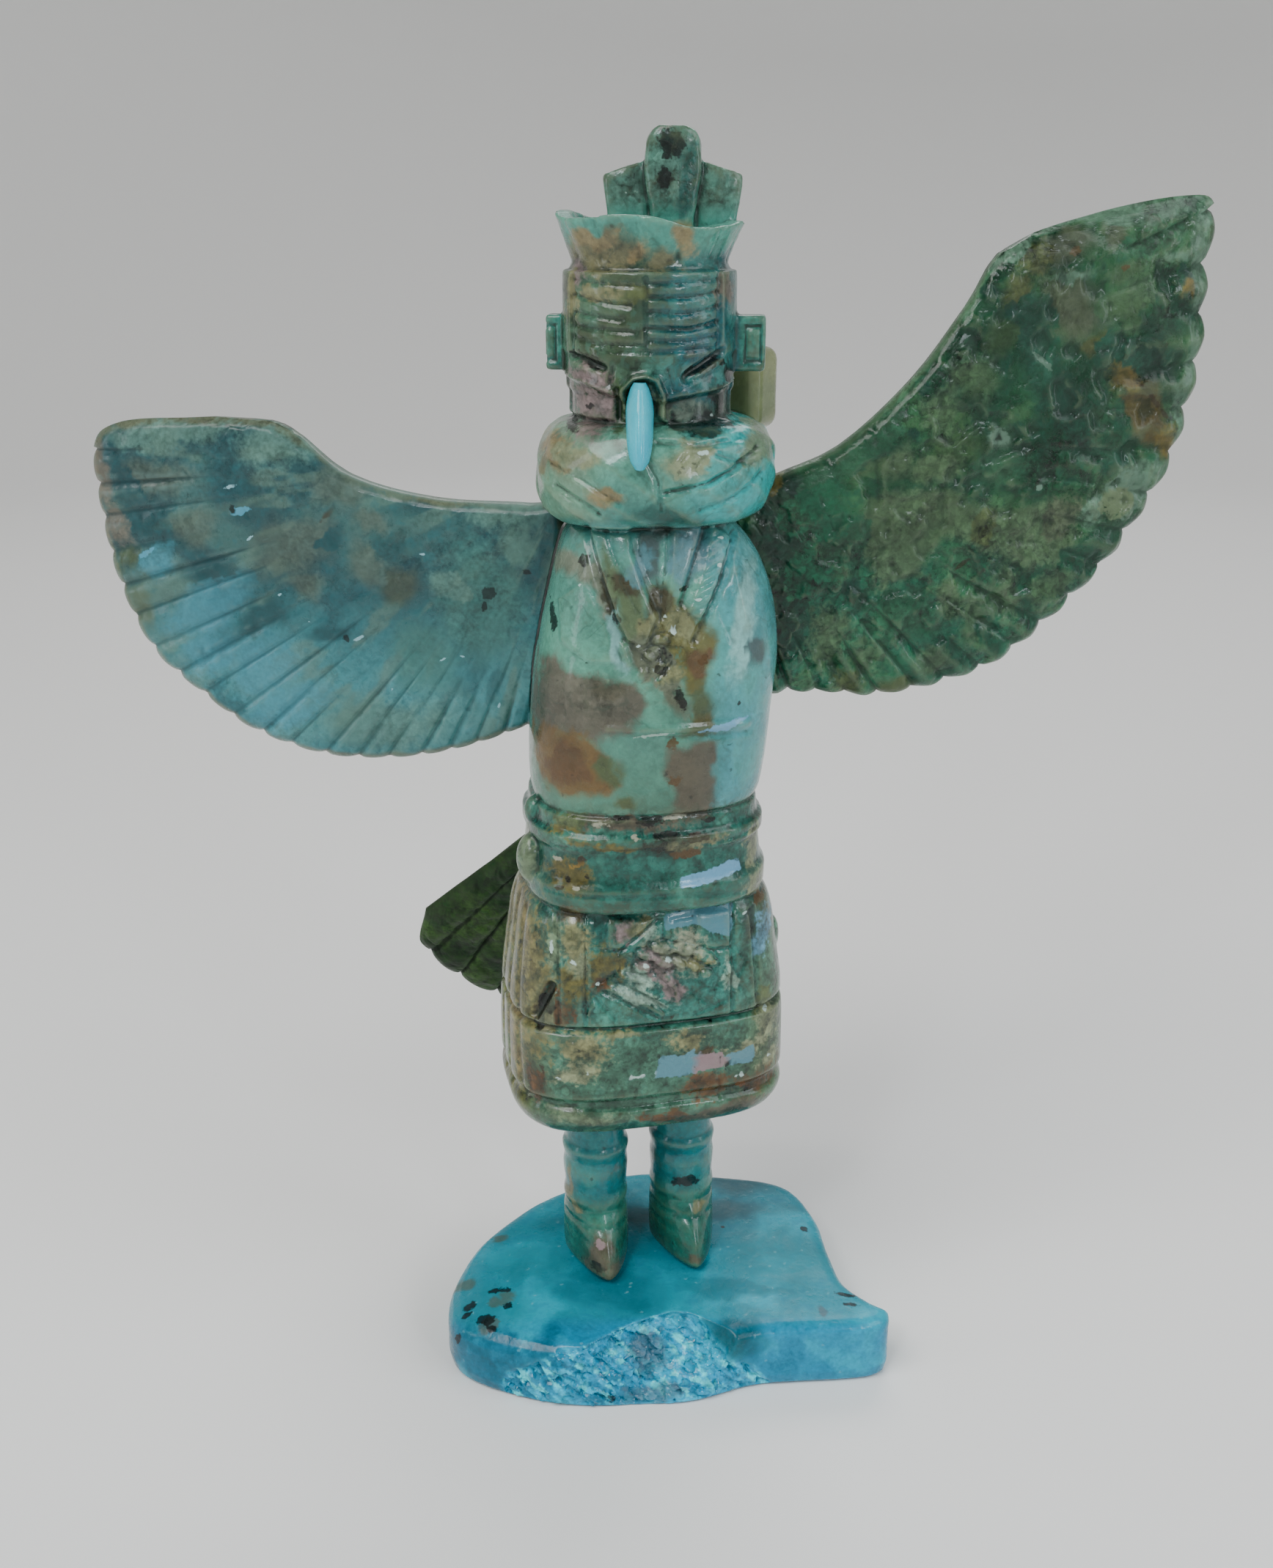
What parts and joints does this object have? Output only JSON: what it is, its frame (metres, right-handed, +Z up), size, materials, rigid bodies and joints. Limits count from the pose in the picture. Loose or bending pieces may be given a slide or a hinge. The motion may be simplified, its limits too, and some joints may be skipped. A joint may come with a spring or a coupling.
{
  "type": "stone fetish carving",
  "caption": "Winged dancer carved in turquoise stones, with spread wings, fan tail, feathered crown and inlaid beak, standing on a broken-edged stone slab.",
  "frame": {"origin": "on the slab's flat underside, below the dancer's body axis", "axes": "+Z up along the dancer's height, -Y the way the dancer faces, +X to the viewer's right along the wings"},
  "size_m": [0.0994, 0.0408, 0.1099],
  "materials": {
    "bright_turquoise": "polished, rough where broken",
    "green_turquoise": "polished",
    "blue_green_turquoise": "satin",
    "dark_green_turquoise": "satin",
    "tail_turquoise": "satin",
    "sky_blue_stone": "polished",
    "olive_stone": "polished"
  },
  "bodies": {
    "root": {"base": "bright_turquoise", "figure": "green_turquoise", "wing_lowered": "blue_green_turquoise", "wing_raised": "dark_green_turquoise", "tail": "tail_turquoise", "beak": "sky_blue_stone", "nape_block": "olive_stone"}
  },
  "joints": []
}
